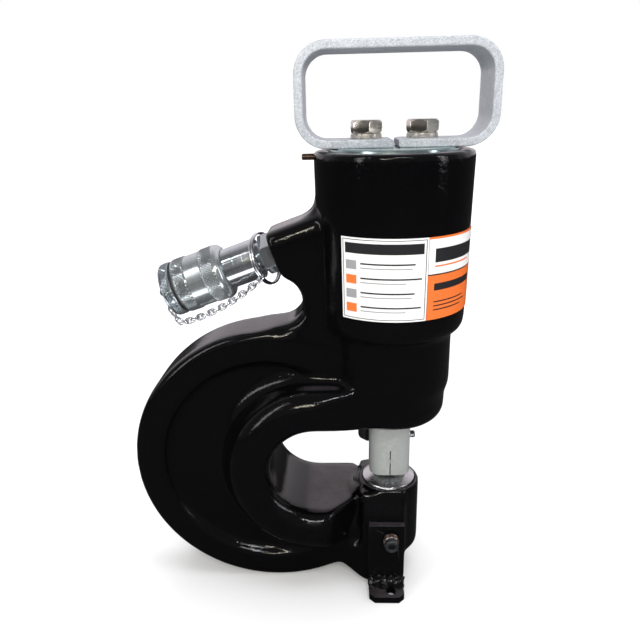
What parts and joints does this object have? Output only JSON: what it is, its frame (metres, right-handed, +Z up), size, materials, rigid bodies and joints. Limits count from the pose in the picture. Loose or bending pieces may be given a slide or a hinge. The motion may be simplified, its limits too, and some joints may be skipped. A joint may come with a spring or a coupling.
{
  "type": "hydraulic hole punch",
  "caption": "Portable hydraulic hole punch: a forged C frame with an upright cylinder, carry handle, screw coupler, adjustable stripper, punch and die on two bench feet.",
  "frame": {"origin": "on the ground plane under the punch axis, midway between the two bench bolt holes", "axes": "+Z up along the punch axis, +X out of the open throat, +Y across the frame towards its back face"},
  "size_m": [0.2458, 0.102, 0.3783],
  "materials": {
    "black_paint": "gloss black paint with a faint orange peel on a forging",
    "bracket_paint": "gloss black paint on welded flat bar",
    "zinc_cap": "bluish zinc plate with upright streaks",
    "zinc_handle": "bright zinc plate on bent flat bar",
    "zinc_bolt": "slightly warm zinc plate",
    "washer_steel": "dull zinc plate",
    "ground_steel": "ground steel",
    "die_steel": "bright turned tool steel",
    "satin_grey": "satin phosphated steel",
    "knob_black": "black moulded grip",
    "bronze": "turned bearing bronze",
    "guide_resin": "brown fabric-filled resin",
    "seal_rubber": "black nitrile rubber",
    "spring_steel": "dark oil-hardened wire",
    "label_white": "plain white film",
    "label_orange": "plain orange film with a white band",
    "zinc_coupler": "bright zinc plate on turned steel",
    "zinc_collar": "zinc plate on diamond knurling",
    "zinc_dust_cap": "bluish zinc plate on diamond knurling",
    "chain_zinc": "bright zinc plated wire",
    "screw_dark": "dark blacked steel with a rusty tinge",
    "pin_brown": "browned steel pin"
  },
  "bodies": {
    "frame": {"c_frame": "black_paint", "end_cap": "zinc_cap", "cap_o_ring": "seal_rubber", "cap_lock_pin": "pin_brown", "carry_handle": "zinc_handle", "handle_bolts": "zinc_bolt", "handle_washers": "washer_steel", "rod_bush": "bronze", "rod_wiper": "seal_rubber", "guide_tube": "ground_steel", "return_spring": "spring_steel", "die": "die_steel", "foot_bracket_front": "bracket_paint", "foot_bracket_back": "bracket_paint", "back_bracket_screw": "screw_dark", "plain_label": "label_white", "colour_label": "label_orange", "port_adapter": "zinc_coupler", "coupler_body": "zinc_coupler", "collar_retainer": "spring_steel", "coupler_seal": "seal_rubber", "valve_plug": "ground_steel", "valve_spring": "spring_steel", "chain_ring": "chain_zinc", "cap_chain": "chain_zinc"},
    "ram": {"piston": "ground_steel", "piston_seal": "seal_rubber", "piston_wear_band": "guide_resin", "ram_rod": "ground_steel", "punch": "die_steel"},
    "stripper": {"stripper_sleeve": "satin_grey", "stripper_stop_screw": "zinc_coupler"},
    "knob": {"stripper_knob": "knob_black"},
    "die_screw": {"die_screw": "screw_dark"},
    "collar": {"coupler_collar": "zinc_collar"},
    "poppet": {"valve_poppet": "bronze"},
    "cap_swivel": {"cap_rivet": "chain_zinc"},
    "dust_cap": {"dust_cap": "zinc_dust_cap", "cap_seal": "seal_rubber"}
  },
  "joints": [
    {"name": "ram_slide", "type": "slide", "parent": "frame", "child": "ram", "axis": [0, 0, -1], "range_m": [0, 0.02], "stiffness_N_per_m": 8000, "springref_m": -0.04, "deforming": ["return_spring"]},
    {"name": "stripper_slide", "type": "slide", "parent": "frame", "child": "stripper", "axis": [0, 0, 1], "range_m": [0, 0.007]},
    {"name": "knob_turn", "type": "hinge", "parent": "stripper", "child": "knob", "pos_m": [0, 0, 0.1075], "axis": [-0.7071, 0.7071, 0], "range_deg": [0, 360]},
    {"name": "die_screw_turn", "type": "hinge", "parent": "frame", "child": "die_screw", "pos_m": [0, 0, 0.0445], "axis": [0, -1, 0], "range_deg": [0, 360]},
    {"name": "collar_spin", "type": "hinge", "parent": "frame", "child": "collar", "pos_m": [-0.0782, 0, 0.2512], "axis": [-0.9426, 0, -0.3338], "continuous": true},
    {"name": "poppet_push", "type": "slide", "parent": "frame", "child": "poppet", "axis": [0.9426, 0, 0.3338], "range_m": [0, 0.004], "stiffness_N_per_m": 800, "springref_m": -0.004, "deforming": ["valve_spring"]},
    {"name": "cap_slide", "type": "slide", "parent": "frame", "child": "cap_swivel", "axis": [-0.9426, 0, -0.3338], "range_m": [0, 0.014], "deforming": ["cap_chain"]},
    {"name": "cap_spin", "type": "hinge", "parent": "cap_swivel", "child": "dust_cap", "pos_m": [-0.0782, 0, 0.2512], "axis": [-0.9426, 0, -0.3338], "range_deg": [0, 1440]}
  ],
  "couplings": [
    {"joint": "cap_spin", "follows": "cap_slide", "rad_per_m": 1795.2}
  ]
}
